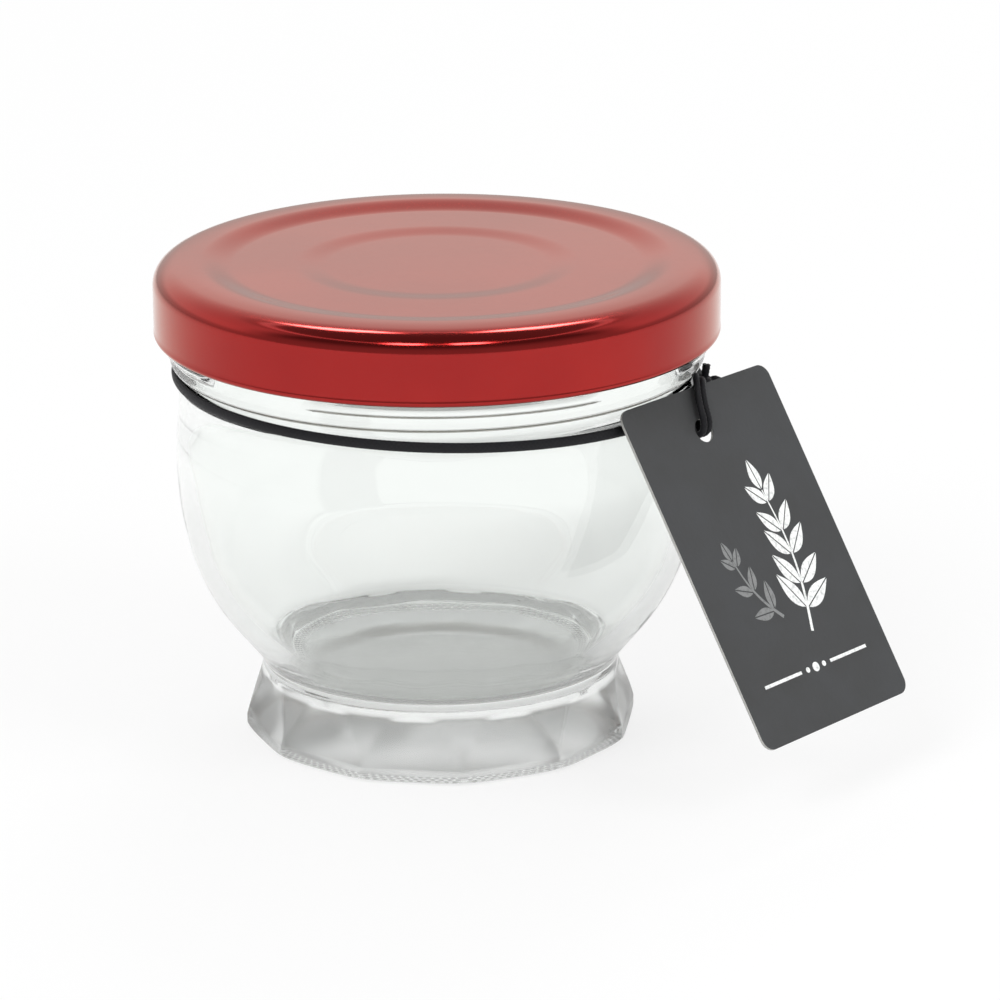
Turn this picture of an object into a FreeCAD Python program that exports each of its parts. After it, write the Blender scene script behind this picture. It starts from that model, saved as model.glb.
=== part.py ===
"""Small footed glass jar with a screw lid, a cord round its neck and a swing tag.

Millimetres, +Z up. The origin is the centre of the jar's base, on the surface
it stands on. -Y is the jar's front and azimuths count from +X.
"""
import FreeCAD, Part
import math
import os

import Sketcher
from FreeCAD import Placement, Rotation, Vector

SIZES = {
    # Bowl of the jar: two arcs that meet below its widest level, then a flare.
    "jar_height": 72.35,
    "bowl_radius": 39.32,
    "bowl_drop": 14.7,
    "bowl_upper_curve": 54.6,
    "bowl_lower_curve": 31.0,
    "bowl_break_drop": 13.0,
    "glass_wall": 2.6,
    "floor_level": 11.4,
    "floor_round": 6.0,
    # Waist between the bowl and the foot.
    "waist_inset": 12.26,
    "waist_level": 10.2,
    "waist_curve": 4.3,
    # Flared foot with flat facets, standing on a ring round a hollow.
    "foot_flare": 2.9,
    "foot_band": 2.0,
    "foot_round": 1.5,
    "facet_count": 12,
    "facet_low_cut": 1.2,
    "facet_high_cut": 0.06,
    "facet_top": 9.0,
    "facet_width": 19.0,
    "facet_shelf": 3.5,
    "facet_turn": -8.6,
    "base_ring_width": 3.9,
    "base_hollow": 1.8,
    # Neck, where the cord sits, and the finish that the lid screws on.
    "neck_inset": 0.53,
    "neck_curve": 12.0,
    "finish_height": 15.05,
    "finish_step": 1.16,
    "lip_round": 1.2,
    "thread_count": 4,
    "thread_rise": 2.4,
    "thread_height": 1.6,
    "thread_reach": 0.75,
    "thread_sweep": 63.0,
    "thread_turn": -86.3,
    # Stamped lid: skirt, corner, raised rim ring, panel and centre disc.
    "lid_clearance": 0.25,
    "lid_seat_gap": 0.05,
    "lid_height": 10.9,
    "lid_sheet": 0.3,
    "lid_corner": 3.4,
    "lid_rim_width": 4.4,
    "lid_step_width": 1.6,
    "lid_step_depth": 0.9,
    "lid_disc_radius": 18.6,
    "lid_disc_slope": 1.0,
    "lid_disc_depth": 0.35,
    "lid_hem": 1.3,
    # Cord round the neck, a little lower on the side that carries the tag.
    "cord_thickness": 1.25,
    "cord_gap": 0.03,
    "cord_drop": 2.53,
    "cord_dip": 1.87,
    "cord_dip_turn": 16.7,
    # Knot on the cord and its two cut ends.
    "knot_length": 3.8,
    "knot_width": 2.8,
    "knot_turn": -12.0,
    "knot_rise": 1.3,
    "knot_gap": 0.12,
    "tail_length": 4.4,
    "tail_thickness": 1.1,
    # Card tag, its top edge leaning on the neck.
    "tag_width": 34.0,
    "tag_length": 53.1,
    "tag_thickness": 0.5,
    "tag_corner": 2.0,
    "tag_turn": -41.9,
    "tag_lean": 31.6,
    "tag_shift": 11.8,
    "tag_gap": 0.15,
    "tag_drop": 0.3,
    "tag_hole": 3.6,
    "tag_hole_shift": -1.5,
    "tag_hole_drop": 6.5,
    # Two strands side by side from the knot through the tag's hole and back.
    "strand_thickness": 1.05,
    "strand_gap": 0.1,
    "strand_lift": 0.3,
    "strand_spread": 1.1,
}

# Route of the strands, from the knot over the tag's top edge, down its face,
# through its hole and back. Each point is across from the hole's middle, up
# from the top edge and out from the middle of the card, and with it comes the
# way from one strand to the other there.
STRAND_ROUTE = [
    (Vector(4.5, 1.1, -0.7), Vector(0.4, -0.8, 0.4)),
    (Vector(2.6, 1.05, 1.15), Vector(0.7, -0.7, 0.0)),
    (Vector(0.9, -2.4, 1.2), Vector(0.9, -0.4, 0.0)),
    (Vector(0.1, -6.6, 1.15), Vector(1.0, 0.0, 0.0)),
    (Vector(-0.1, -7.0, -1.5), Vector(1.0, 0.0, 0.0)),
    (Vector(1.6, -4.0, -2.0), Vector(0.9, -0.4, 0.0)),
    (Vector(5.2, -0.7, -2.3), Vector(0.5, -0.9, 0.0)),
]
STRAND_SIDES = {"tag_strand_left": -0.5, "tag_strand_right": 0.5}

WAIST_RADIUS = "(sizes.bowl_radius - sizes.waist_inset)"
FOOT_RADIUS = f"({WAIST_RADIUS} + sizes.foot_flare)"
NECK_RADIUS = "(sizes.bowl_radius - sizes.neck_inset)"
FINISH_RADIUS = f"({NECK_RADIUS} + sizes.finish_step)"
MOUTH_RADIUS = "(sizes.bowl_radius - sizes.glass_wall)"
NECK_TOP = "(sizes.jar_height - sizes.finish_height)"
BOWL_LEVEL = f"({NECK_TOP} - sizes.bowl_drop)"
LID_RADIUS = f"({FINISH_RADIUS} + sizes.thread_reach + sizes.lid_clearance + sizes.lid_hem)"
LID_TOP = "(sizes.jar_height + sizes.lid_seat_gap + sizes.lid_sheet)"
LID_BOTTOM = f"({LID_TOP} - sizes.lid_height)"
CORD_RADIUS = f"({NECK_RADIUS} + sizes.cord_gap + sizes.cord_thickness / 2)"
CORD_LEVEL = f"({NECK_TOP} - sizes.cord_drop)"

doc = FreeCAD.newDocument("jar")
sheet = doc.addObject("Spreadsheet::Sheet", "sizes")
for row, (alias, value) in enumerate(SIZES.items(), start=1):
    sheet.set(f"A{row}", alias)
    sheet.set(f"B{row}", str(value))
    sheet.setAlias(f"B{row}", alias)
doc.recompute()


def value_of(expression):
    """Return the number that an expression of the sheet's sizes comes to."""
    return float(sheet.evalExpression(expression.replace("sizes.", "")))


def polar(azimuth):
    """Return the level unit vector at an azimuth in degrees."""
    return Vector(math.cos(math.radians(azimuth)), math.sin(math.radians(azimuth)), 0)


# Sketches -------------------------------------------------------------------


def origin_feature(body, role):
    """Return one of a body's own origin planes or axes."""
    return next(f for f in body.Origin.OriginFeatures if f.Role == role)


def upright_sketch(body, name, turn=None):
    """Return a sketch in an upright plane through Z: its x is outward, its y up."""
    sketch = body.newObject("Sketcher::SketchObject", name)
    sketch.AttachmentSupport = [(origin_feature(body, "XZ_Plane"), "")]
    sketch.MapMode = "FlatFace"
    if turn:
        sketch.AttachmentOffset = Placement(Vector(), Rotation(Vector(0, 1, 0), 1))
        sketch.setExpression(".AttachmentOffset.Rotation.Angle", turn)
    return sketch


class Corner:
    """A point of an outline; a coordinate given as an expression is bound to it."""

    def __init__(self, across, up):
        self.bound = [c if isinstance(c, str) else None for c in (across, up)]
        self.at = [value_of(c) if isinstance(c, str) else c for c in (across, up)]

    def vector(self):
        """Return the point as a vector of the sketch."""
        return Vector(*self.at, 0)


class Outline:
    """A closed chain of lines and arcs in a sketch."""

    def __init__(self, sketch):
        self.sketch = sketch
        self.edges = []
        self.smooth = set()
        self.bound = []

    def bind(self, kind, expression, *where):
        """Bind a distance or a radius to an expression."""
        constraint = Sketcher.Constraint(kind, *where, value_of(expression))
        index = self.sketch.addConstraint(constraint)
        self.sketch.setExpression(f"Constraints[{index}]", expression)

    def place(self, edge, end, corner):
        """Bind a corner's coordinates once, at the first edge that has it."""
        if corner in self.bound:
            return
        self.bound.append(corner)
        for kind, axis, expression in zip(("DistanceX", "DistanceY"), (-2, -1), corner.bound):
            if expression == "0":
                on_axis = Sketcher.Constraint("PointOnObject", edge, end, axis)
                self.sketch.addConstraint(on_axis)
            elif expression:
                self.bind(kind, expression, -1, 1, edge, end)

    def line(self, start, end, smooth=False):
        """Add a straight edge; smooth runs on into the next edge with no corner."""
        edge = self.sketch.addGeometry(Part.LineSegment(start.vector(), end.vector()), False)
        self.add(edge, 1, 2, (start, end), smooth)
        return edge

    def arc(self, centre, radius, start, end, clockwise=False, smooth=False):
        """Add an arc of a bound radius, anticlockwise unless it is said otherwise."""
        circle = Part.Circle(centre.vector(), Vector(0, 0, 1), value_of(radius))
        turns = [
            math.atan2(c.at[1] - centre.at[1], c.at[0] - centre.at[0])
            for c in ((end, start) if clockwise else (start, end))
        ]
        if turns[1] < turns[0]:
            turns[1] += 2 * math.pi
        edge = self.sketch.addGeometry(Part.ArcOfCircle(circle, *turns), False)
        self.add(edge, 2 if clockwise else 1, 1 if clockwise else 2, (start, end), smooth)
        self.place(edge, 3, centre)
        self.bind("Radius", radius, edge)
        return edge

    def add(self, edge, first, last, corners, smooth):
        """Note an edge's ends and bind their corners."""
        self.edges.append((edge, first, last))
        if smooth:
            self.smooth.add(edge)
        self.corners = corners
        for end, corner in zip((first, last), corners):
            self.place(edge, end, corner)

    def close(self):
        """Join each edge to the next, and the last to the first."""
        for this, following in zip(self.edges, self.edges[1:] + self.edges[:1]):
            kind = "Tangent" if this[0] in self.smooth else "Coincident"
            joint = Sketcher.Constraint(kind, this[0], this[2], following[0], following[1])
            self.sketch.addConstraint(joint)


def revolve(body, sketch, name, kind="PartDesign::Revolution"):
    """Turn a sketch a full turn round Z, to add material or to cut it."""
    feature = body.newObject(kind, name)
    feature.Profile = sketch
    feature.ReferenceAxis = (sketch, ["V_Axis"])
    feature.Angle = 360
    return feature


def repeat_round(body, feature, name, count):
    """Repeat a feature evenly round Z."""
    pattern = body.newObject("PartDesign::PolarPattern", name)
    pattern.Originals = [feature]
    pattern.Axis = (origin_feature(body, "Z_Axis"), [""])
    pattern.Angle = 360
    pattern.setExpression("Occurrences", count)
    body.Tip = pattern


# Jar ------------------------------------------------------------------------


class BowlCurves:
    """Centres and joints of the bowl's outer arcs, where its outlines start."""

    def __init__(self):
        upper, lower = value_of("sizes.bowl_upper_curve"), value_of("sizes.bowl_lower_curve")
        neck, waist = value_of("sizes.neck_curve"), value_of("sizes.waist_curve")
        level = value_of(BOWL_LEVEL)
        self.upper = Vector(value_of("sizes.bowl_radius") - upper, level, 0)
        fall = value_of("sizes.bowl_break_drop") / upper
        self.out = Vector(math.sqrt(1 - fall**2), -fall, 0)
        self.lower = self.upper + self.out * (upper - lower)
        self.waist = Vector(value_of(WAIST_RADIUS) + waist, value_of("sizes.waist_level"), 0)
        self.flare = self.across(self.waist - self.lower, lower + waist, 1)
        foot = Vector(value_of(FOOT_RADIUS), value_of("sizes.foot_band"), 0)
        self.foot_side = self.across(foot - self.waist, waist, -1)
        reach = value_of(NECK_RADIUS) + neck - self.upper.x
        rise = math.sqrt((upper + neck) ** 2 - reach**2)
        self.neck = Vector(self.upper.x + reach, level + rise, 0)
        self.neck_side = (self.neck - self.upper).normalize()

    @staticmethod
    def across(gap, reach, side):
        """Return the unit normal of a tangent, from a gap between two centres."""
        share = reach / gap.Length
        along = Vector(gap).normalize()
        turned = Vector(-along.y, along.x, 0)
        return along * share + turned * (side * math.sqrt(1 - share**2))


def free(point):
    """Return a corner that the tangents place."""
    return Corner(point.x, point.y)


def jar_outline(sketch, curves):
    """Draw the jar's outside, from the hollow under its base up to its lip."""
    upper, lower = value_of("sizes.bowl_upper_curve"), value_of("sizes.bowl_lower_curve")
    waist = value_of("sizes.waist_curve")
    ring_outer = f"{FOOT_RADIUS} - sizes.foot_round"
    ring_inner = f"({ring_outer} - sizes.base_ring_width)"
    hollow_curve = f"({ring_inner}^2 + sizes.base_hollow^2) / (2 * sizes.base_hollow)"
    hollow = Corner("0", "sizes.base_hollow")
    ring_start = Corner(ring_inner, "0")
    ring_end = Corner(ring_outer, "0")
    heel = Corner(FOOT_RADIUS, "sizes.foot_round")
    band = Corner(FOOT_RADIUS, "sizes.foot_band")
    foot_top = free(curves.waist + curves.foot_side * waist)
    flare_low = free(curves.waist - curves.flare * waist)
    flare_high = free(curves.lower + curves.flare * lower)
    bowl_break = Corner((curves.upper + curves.out * upper).x,
                        f"{BOWL_LEVEL} - sizes.bowl_break_drop")
    shoulder = free(curves.upper + curves.neck_side * upper)
    neck_low = free(curves.neck - Vector(value_of("sizes.neck_curve"), 0, 0))
    neck_high = Corner(NECK_RADIUS, NECK_TOP)
    finish_low = Corner(FINISH_RADIUS, f"{NECK_TOP} + sizes.finish_step")
    lip_side = Corner(FINISH_RADIUS, "sizes.jar_height - sizes.lip_round")
    lip_top = Corner(f"{FINISH_RADIUS} - sizes.lip_round", "sizes.jar_height")
    axis_top = Corner("0", "sizes.jar_height")

    outline = Outline(sketch)
    hollow_centre = Corner(0.0, value_of("sizes.base_hollow") - value_of(hollow_curve))
    outline.arc(hollow_centre, hollow_curve, hollow, ring_start, clockwise=True)
    outline.line(ring_start, ring_end)
    heel_centre = Corner(ring_end.at[0], heel.at[1])
    outline.arc(heel_centre, "sizes.foot_round", ring_end, heel)
    outline.line(heel, band)
    outline.line(band, foot_top, smooth=True)
    waist_centre = Corner(f"{WAIST_RADIUS} + sizes.waist_curve", "sizes.waist_level")
    outline.arc(waist_centre, "sizes.waist_curve", foot_top, flare_low, True, True)
    outline.line(flare_low, flare_high, smooth=True)
    outline.arc(free(curves.lower), "sizes.bowl_lower_curve", flare_high, bowl_break,
                smooth=True)
    upper_centre = Corner("sizes.bowl_radius - sizes.bowl_upper_curve", BOWL_LEVEL)
    outline.arc(upper_centre, "sizes.bowl_upper_curve", bowl_break, shoulder, smooth=True)
    outline.arc(free(curves.neck), "sizes.neck_curve", shoulder, neck_low, True, True)
    outline.line(neck_low, neck_high)
    finish_centre = Corner(neck_high.at[0], finish_low.at[1])
    outline.arc(finish_centre, "sizes.finish_step", neck_high, finish_low)
    outline.line(finish_low, lip_side)
    lip_centre = Corner(lip_top.at[0], lip_side.at[1])
    outline.arc(lip_centre, "sizes.lip_round", lip_side, lip_top)
    outline.line(lip_top, axis_top)
    outline.line(axis_top, hollow)
    outline.close()
    return outline


def cavity_outline(sketch, curves):
    """Draw the jar's inside, one wall within its outside, open at the mouth."""
    wall = value_of("sizes.glass_wall")
    upper = value_of("sizes.bowl_upper_curve") - wall
    lower = value_of("sizes.bowl_lower_curve") - wall
    waist = value_of("sizes.waist_curve") + wall
    corner = value_of("sizes.floor_round")
    rise = value_of("sizes.floor_level") + corner
    out = curves.flare
    across = ((curves.waist * out) - waist - corner - out.y * rise) / out.x
    corner_centre = Vector(across, rise, 0)
    clear = value_of("sizes.jar_height") * 0.02

    axis_floor = Corner("0", "sizes.floor_level")
    floor_edge = Corner(across, "sizes.floor_level")
    side_low = free(corner_centre + out * corner)
    side_high = free(curves.lower + out * lower)
    inner_break = Corner(
        (curves.upper + curves.out * upper).x,
        f"{BOWL_LEVEL} - sizes.bowl_break_drop"
        " * (1 - sizes.glass_wall / sizes.bowl_upper_curve)",
    )
    widest = free(curves.upper + Vector(upper, 0, 0))
    mouth_low = Corner(MOUTH_RADIUS, "sizes.jar_height - sizes.lip_round")
    mouth_high = Corner(f"{MOUTH_RADIUS} + sizes.lip_round", "sizes.jar_height")
    above = Corner(f"{MOUTH_RADIUS} + sizes.lip_round", f"sizes.jar_height + {clear}")
    axis_above = Corner("0", f"sizes.jar_height + {clear}")

    outline = Outline(sketch)
    outline.line(axis_floor, floor_edge, smooth=True)
    outline.arc(free(corner_centre), "sizes.floor_round", floor_edge, side_low, smooth=True)
    side = outline.line(side_low, side_high, smooth=True)
    outline.arc(free(curves.lower), "sizes.bowl_lower_curve - sizes.glass_wall",
                side_high, inner_break, smooth=True)
    upper_centre = Corner("sizes.bowl_radius - sizes.bowl_upper_curve", BOWL_LEVEL)
    outline.arc(upper_centre, "sizes.bowl_upper_curve - sizes.glass_wall",
                inner_break, widest, smooth=True)
    outline.line(widest, mouth_low)
    lip_centre = Corner(mouth_high.at[0], mouth_low.at[1])
    outline.arc(lip_centre, "sizes.lip_round", mouth_low, mouth_high, clockwise=True)
    outline.line(mouth_high, above)
    outline.line(above, axis_above)
    outline.line(axis_above, axis_floor)
    outline.close()

    # The side stays one wall inside the flare: it touches a guide round the waist.
    guide_circle = Part.Circle(curves.waist, Vector(0, 0, 1), waist)
    guide = sketch.addGeometry(guide_circle, True)
    waist_centre = Corner(f"{WAIST_RADIUS} + sizes.waist_curve", "sizes.waist_level")
    outline.place(guide, 3, waist_centre)
    outline.bind("Radius", "sizes.waist_curve + sizes.glass_wall", guide)
    sketch.addConstraint(Sketcher.Constraint("Tangent", guide, side))
    return outline


def facet_outline(sketch):
    """Draw the wedge that cuts one flat facet into the foot."""
    low = f"{FOOT_RADIUS} - sizes.facet_low_cut"
    high = f"{WAIST_RADIUS} - sizes.facet_high_cut"
    outer = f"{FOOT_RADIUS} + sizes.facet_shelf"
    corners = [
        Corner(low, "-sizes.foot_band"),
        Corner(outer, "-sizes.foot_band"),
        Corner(outer, "sizes.facet_top + sizes.facet_shelf"),
        Corner(high, "sizes.facet_top"),
        Corner(low, "sizes.foot_band"),
    ]
    outline = Outline(sketch)
    for start, end in zip(corners, corners[1:] + corners[:1]):
        outline.line(start, end)
    outline.close()


def thread_outline(sketch):
    """Draw the round-nosed section of one thread on the finish."""
    low = f"{NECK_TOP} + sizes.thread_rise"
    high = f"{low} + sizes.thread_height"
    root = f"{FINISH_RADIUS} - sizes.finish_step / 2"
    nose = "(sizes.thread_height^2 / 4 + sizes.thread_reach^2) / (2 * sizes.thread_reach)"
    low_root, high_root = Corner(root, low), Corner(root, high)
    low_nose, high_nose = Corner(FINISH_RADIUS, low), Corner(FINISH_RADIUS, high)
    reach = value_of(f"{FINISH_RADIUS} + sizes.thread_reach - {nose}")
    centre = Corner(reach, (low_nose.at[1] + high_nose.at[1]) / 2)
    outline = Outline(sketch)
    outline.line(low_root, low_nose)
    outline.arc(centre, nose, low_nose, high_nose)
    outline.line(high_nose, high_root)
    outline.line(high_root, low_root)
    outline.close()


def make_jar():
    """Make the glass: a turned body, flat facets on the foot, threads, the cavity."""
    body = doc.addObject("PartDesign::Body", "jar")
    curves = BowlCurves()

    outside = upright_sketch(body, "jar_outside")
    jar_outline(outside, curves)
    revolve(body, outside, "jar_turned")

    facet_sketch = upright_sketch(body, "facet_section", "sizes.facet_turn")
    facet_outline(facet_sketch)
    facet = body.newObject("PartDesign::Pocket", "facet")
    facet.Profile = facet_sketch
    facet.SideType = "Symmetric"
    facet.setExpression("Length", "sizes.facet_width")
    repeat_round(body, facet, "facets", "sizes.facet_count")

    thread_sketch = upright_sketch(body, "thread_section", "sizes.thread_turn")
    thread_outline(thread_sketch)
    thread = revolve(body, thread_sketch, "thread")
    thread.Midplane = True
    thread.setExpression("Angle", "sizes.thread_sweep")
    repeat_round(body, thread, "threads", "sizes.thread_count")

    inside = upright_sketch(body, "jar_inside")
    cavity_outline(inside, curves)
    body.Tip = revolve(body, inside, "jar_cavity", "PartDesign::Groove")
    return body


# Lid ------------------------------------------------------------------------


def make_lid():
    """Make the lid: one sheet, pressed into rim, panel and disc, hemmed below."""
    body = doc.addObject("PartDesign::Body", "lid")
    sketch = upright_sketch(body, "lid_section")
    panel = f"{LID_TOP} - sizes.lid_step_depth"
    disc = f"{panel} - sizes.lid_disc_depth"
    rim_inner = f"({LID_RADIUS} - sizes.lid_corner - sizes.lid_rim_width)"
    hem_level = f"{LID_BOTTOM} + sizes.lid_hem / 2"
    steps = [
        ("0", disc),
        ("sizes.lid_disc_radius", disc),
        ("sizes.lid_disc_radius + sizes.lid_disc_slope", panel),
        (f"{rim_inner} - sizes.lid_step_width", panel),
        (rim_inner, LID_TOP),
        (f"{LID_RADIUS} - sizes.lid_corner", LID_TOP),
    ]
    top = [Corner(*step) for step in steps]
    under = [Corner(across, f"{up} - sizes.lid_sheet") for across, up in steps]
    corner_low = Corner(LID_RADIUS, f"{LID_TOP} - sizes.lid_corner")
    hem_outer = Corner(LID_RADIUS, hem_level)
    hem_inner = Corner(f"{LID_RADIUS} - sizes.lid_hem / 2", f"{LID_BOTTOM} + sizes.lid_hem")
    skirt_low = Corner(f"{LID_RADIUS} - sizes.lid_sheet", f"{LID_BOTTOM} + sizes.lid_hem")
    skirt_high = Corner(f"{LID_RADIUS} - sizes.lid_sheet", f"{LID_TOP} - sizes.lid_corner")

    outline = Outline(sketch)
    for start, end in zip(top, top[1:]):
        outline.line(start, end)
    corner_centre = Corner(top[-1].at[0], corner_low.at[1])
    outline.arc(corner_centre, "sizes.lid_corner", top[-1], corner_low, clockwise=True)
    outline.line(corner_low, hem_outer)
    hem_centre = Corner(hem_inner.at[0], hem_outer.at[1])
    outline.arc(hem_centre, "sizes.lid_hem / 2", hem_outer, hem_inner, clockwise=True)
    outline.line(hem_inner, skirt_low)
    outline.line(skirt_low, skirt_high)
    outline.arc(corner_centre, "sizes.lid_corner - sizes.lid_sheet", skirt_high, under[-1])
    for start, end in zip(under[::-1], under[-2::-1]):
        outline.line(start, end)
    outline.line(under[0], top[0])
    outline.close()
    revolve(body, sketch, "lid_pressed")
    return body


# Cord and knot --------------------------------------------------------------


def knot_frame():
    """Return the knot's placement: x round the neck, y away from it, z up."""
    turn = value_of("sizes.knot_turn")
    tilt = math.tan(math.radians(value_of("sizes.cord_dip")))
    dip = tilt * math.cos(math.radians(turn - value_of("sizes.cord_dip_turn")))
    reach = value_of(f"{NECK_RADIUS} + sizes.knot_gap + sizes.knot_width / 2")
    level = value_of(f"{CORD_LEVEL} + sizes.knot_rise") - reach * dip
    turned = Rotation(Vector(0, 0, 1), turn - 90)
    return Placement(polar(turn) * reach + Vector(0, 0, level), turned)


def knot_ball(name, room):
    """Return the knot's rounded bulk, with some room all round it."""
    ball = doc.addObject("Part::Ellipsoid", name)
    ball.setExpression("Radius1", f"sizes.knot_width / 2 + {room}")
    ball.setExpression("Radius2", f"sizes.knot_length / 2 + {room}")
    ball.setExpression("Radius3", f"sizes.knot_width / 2 + {room}")
    ball.Placement = knot_frame()
    return ball


def make_cord():
    """Make the cord: a ring round the neck that ends on both sides of the knot."""
    ring = doc.addObject("Part::Torus", "cord_ring")
    ring.setExpression("Radius1", CORD_RADIUS)
    ring.setExpression("Radius2", "sizes.cord_thickness / 2")
    dip_axis = polar(value_of("sizes.cord_dip_turn") + 90)
    tilt = Rotation(dip_axis, value_of("sizes.cord_dip"))
    ring.Placement = Placement(Vector(0, 0, value_of(CORD_LEVEL)), tilt)
    cord = doc.addObject("Part::Cut", "neck_cord")
    cord.Base = ring
    cord.Tool = knot_ball("cord_ends_room", "sizes.strand_gap")
    return cord


def make_knot():
    """Make the knot with its two cut ends, one upright and one pointing out."""
    frame = knot_frame()
    pieces = [knot_ball("knot_bulk", 0)]
    for number, way in enumerate((Vector(0.2, 0.7, 3.8), Vector(-0.8, 2.1, 0.9))):
        tail = doc.addObject("Part::Cone", f"knot_tail_{number + 1}")
        tail.setExpression("Radius1", "sizes.tail_thickness / 2")
        tail.setExpression("Radius2", "sizes.tail_thickness / 4")
        tail.setExpression("Height", f"sizes.tail_length * {1 - 0.25 * number}")
        turned = Placement(Vector(), Rotation(Vector(0, 0, 1), way))
        tail.Placement = frame * turned
        pieces.append(tail)
    knot = doc.addObject("Part::MultiFuse", "tag_knot")
    knot.Shapes = pieces
    return knot


# Tag and its strands --------------------------------------------------------


def tag_frame():
    """Return the tag's placement: x across it, y up it, z out of its face."""
    turn, lean = value_of("sizes.tag_turn"), value_of("sizes.tag_lean")
    upright = Rotation(Vector(1, 1, 1), 120)
    turned = Rotation(Vector(0, 0, 1), turn) * Rotation(Vector(0, 1, 0), -lean) * upright
    back_edge = polar(turn) * value_of(f"{NECK_RADIUS} + sizes.tag_gap")
    back_edge += polar(turn + 90) * value_of("sizes.tag_shift")
    back_edge += Vector(0, 0, value_of(f"{NECK_TOP} - sizes.tag_drop"))
    out = turned.multVec(Vector(0, 0, 1))
    return Placement(back_edge + out * (value_of("sizes.tag_thickness") / 2), turned)


def make_tag():
    """Make the card tag, with round corners and its hole near the top edge."""
    body = doc.addObject("PartDesign::Body", "tag")
    sketch = body.newObject("Sketcher::SketchObject", "tag_outline")
    sketch.AttachmentSupport = [(origin_feature(body, "XY_Plane"), "")]
    sketch.MapMode = "FlatFace"
    half, length = "sizes.tag_width / 2", "sizes.tag_length"
    inset = "sizes.tag_corner"
    # Each corner of the card, anticlockwise: the ends of its arc.
    rounds = [
        ((half, f"-{inset}"), (f"{half} - {inset}", "0")),
        ((f"{inset} - {half}", "0"), (f"-{half}", f"-{inset}")),
        ((f"-{half}", f"{inset} - {length}"), (f"{inset} - {half}", f"-{length}")),
        ((f"{half} - {inset}", f"-{length}"), (half, f"{inset} - {length}")),
    ]
    rounds = [(Corner(*start), Corner(*end)) for start, end in rounds]
    outline = Outline(sketch)
    for number, (start, end) in enumerate(rounds):
        side = number % 2
        centre = Corner((end, start)[side].at[0], (start, end)[side].at[1])
        outline.arc(centre, inset, start, end)
        outline.line(end, rounds[(number + 1) % 4][0])
    outline.close()
    hole_centre = Corner("sizes.tag_hole_shift", "-sizes.tag_hole_drop")
    hole_radius = value_of("sizes.tag_hole / 2")
    circle = Part.Circle(hole_centre.vector(), Vector(0, 0, 1), hole_radius)
    hole = sketch.addGeometry(circle, False)
    outline.place(hole, 3, hole_centre)
    outline.bind("Radius", "sizes.tag_hole / 2", hole)
    card = body.newObject("PartDesign::Pad", "tag_card")
    card.Profile = sketch
    card.SideType = "Symmetric"
    card.setExpression("Length", "sizes.tag_thickness")
    body.Placement = tag_frame()
    return body


def rounded_path(points):
    """Return straight runs through the points, joined by tangent arcs."""
    edges = []
    start = points[0]
    for before, point, after in zip(points, points[1:], points[2:]):
        back, ahead = before - point, after - point
        half_turn = (math.pi - back.getAngle(ahead)) / 2
        reach = 0.45 * min(back.Length, ahead.Length)
        radius = reach / math.tan(half_turn)
        back.normalize()
        ahead.normalize()
        arc_start, arc_end = point + back * reach, point + ahead * reach
        to_middle = radius / math.cos(half_turn) - radius
        middle = point + (back + ahead).normalize() * to_middle
        edges.append(Part.LineSegment(start, arc_start).toShape())
        edges.append(Part.Arc(arc_start, middle, arc_end).toShape())
        start = arc_end
    edges.append(Part.LineSegment(start, points[-1]).toShape())
    return Part.Wire(edges)


def make_strand(name, side):
    """Make one strand from the knot through the tag's hole and back to the knot."""
    thickness = value_of("sizes.strand_thickness")
    aside = side * (thickness + value_of("sizes.strand_gap"))
    lift, spread = value_of("sizes.strand_lift"), value_of("sizes.strand_spread")
    hole = Vector(value_of("sizes.tag_hole_shift"), 0, 0)
    frame = tag_frame()
    start, end = [knot_frame().Base + frame.Rotation.multVec(Vector(0, lift - aside, out))
                  for out in (spread, lift - spread / 2)]
    route = [frame.multVec(hole + point + way * aside) for point, way in STRAND_ROUTE]
    path = rounded_path([start] + route + [end])
    section = Part.Circle(start, route[0] - start, thickness / 2).toShape()
    tube = path.makePipeShell([Part.Wire(section)], True, False)
    room = knot_ball(f"{name}_room", "sizes.strand_gap")
    doc.recompute([room])
    strand = doc.addObject("Part::Feature", name)
    strand.Shape = tube.cut(room.Shape)
    return strand


# Document -------------------------------------------------------------------

parts = [make_jar(), make_lid(), make_cord(), make_knot(), make_tag()]
parts += [make_strand(name, side) for name, side in STRAND_SIDES.items()]
doc.recompute()

for item in doc.Objects:
    if {"Invalid", "Error"} & set(item.State):
        raise RuntimeError(f"{item.Name} failed: {item.State}")
for item in parts:
    item.Label = item.Name
    if item.Shape.isNull() or not item.Shape.isValid() or item.Shape.Volume <= 0:
        raise RuntimeError(f"{item.Label} has no valid shape")

os.makedirs("parts", exist_ok=True)
for item in parts:
    item.Shape.exportStep(f"parts/{item.Label}.step")
    print(item.Label, len(item.Shape.Solids), "solid", round(item.Shape.Volume, 2), "mm3")
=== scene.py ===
"""Looks of the footed glass jar: pressed glass, lacquered lid, braided cord and swing tag.

Shapes are worked out in millimetres in the frame of the CAD part and become
metres when each piece is finished. -Y is the front of the jar.
"""
import math

import bmesh
import bpy
from mathutils import Matrix, Vector


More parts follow.
